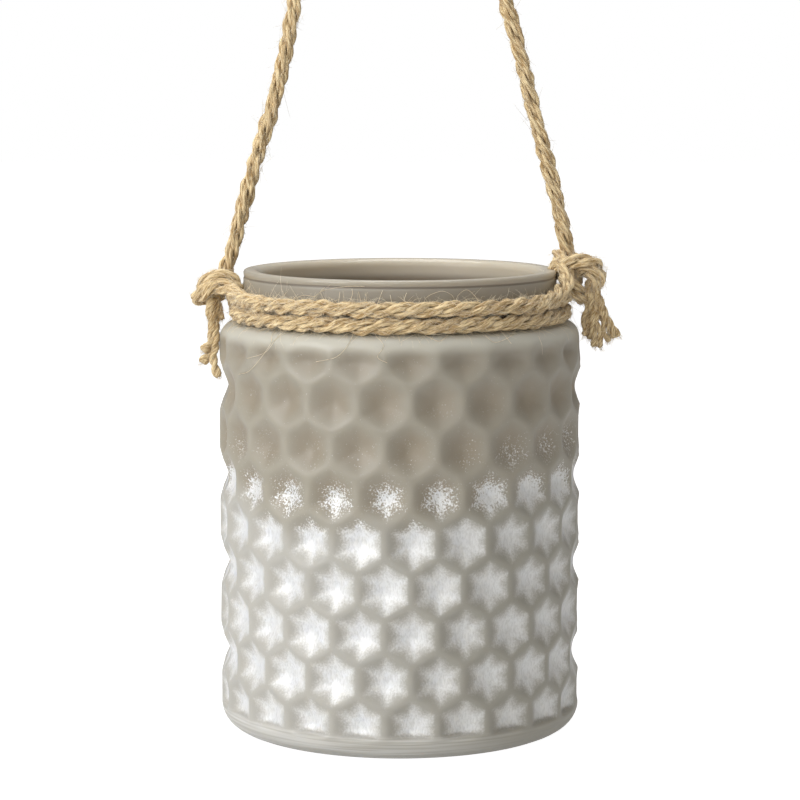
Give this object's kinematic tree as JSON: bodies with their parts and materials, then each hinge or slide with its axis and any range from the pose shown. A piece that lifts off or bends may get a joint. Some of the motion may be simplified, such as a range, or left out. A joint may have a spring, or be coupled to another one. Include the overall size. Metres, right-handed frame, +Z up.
{
  "type": "hanging lantern",
  "caption": "Hanging glass lantern: a round moulded jar with a honeycomb relief, rope tied round its neck, a swinging rope handle and a tealight inside.",
  "frame": {"origin": "centre of the jar's flat base", "axes": "+Z up along the jar's axis out of the mouth, front towards -Y, +X towards the right-hand knot"},
  "size_m": [0.1654, 0.14, 0.427],
  "materials": {
    "frosted_glass": "frosted, silvered inside the lower two thirds",
    "jute_rope": "rough natural fibre",
    "cup_metal": "thin drawn foil",
    "wax": "satin wax",
    "wick_cotton": "waxed cotton"
  },
  "bodies": {
    "jar": {"glass_jar": "frosted_glass", "neck_rope_lower_turn": "jute_rope", "neck_rope_upper_turn": "jute_rope", "left_knot": "jute_rope", "right_knot": "jute_rope", "left_tail": "jute_rope", "right_tail": "jute_rope"},
    "handle": {"handle_rope": "jute_rope"},
    "tealight": {"tealight_cup": "cup_metal", "wick_clip": "cup_metal", "tealight_wax": "wax", "tealight_wick": "wick_cotton"}
  },
  "joints": [
    {"name": "handle_swing", "type": "hinge", "parent": "jar", "child": "handle", "pos_m": [0, 0, 0.177], "axis": [1, 0, 0], "range_deg": [-90, 90]},
    {"name": "tealight_lift", "type": "slide", "parent": "jar", "child": "tealight", "axis": [0, 0, 1], "range_m": [0, 0.19]}
  ]
}
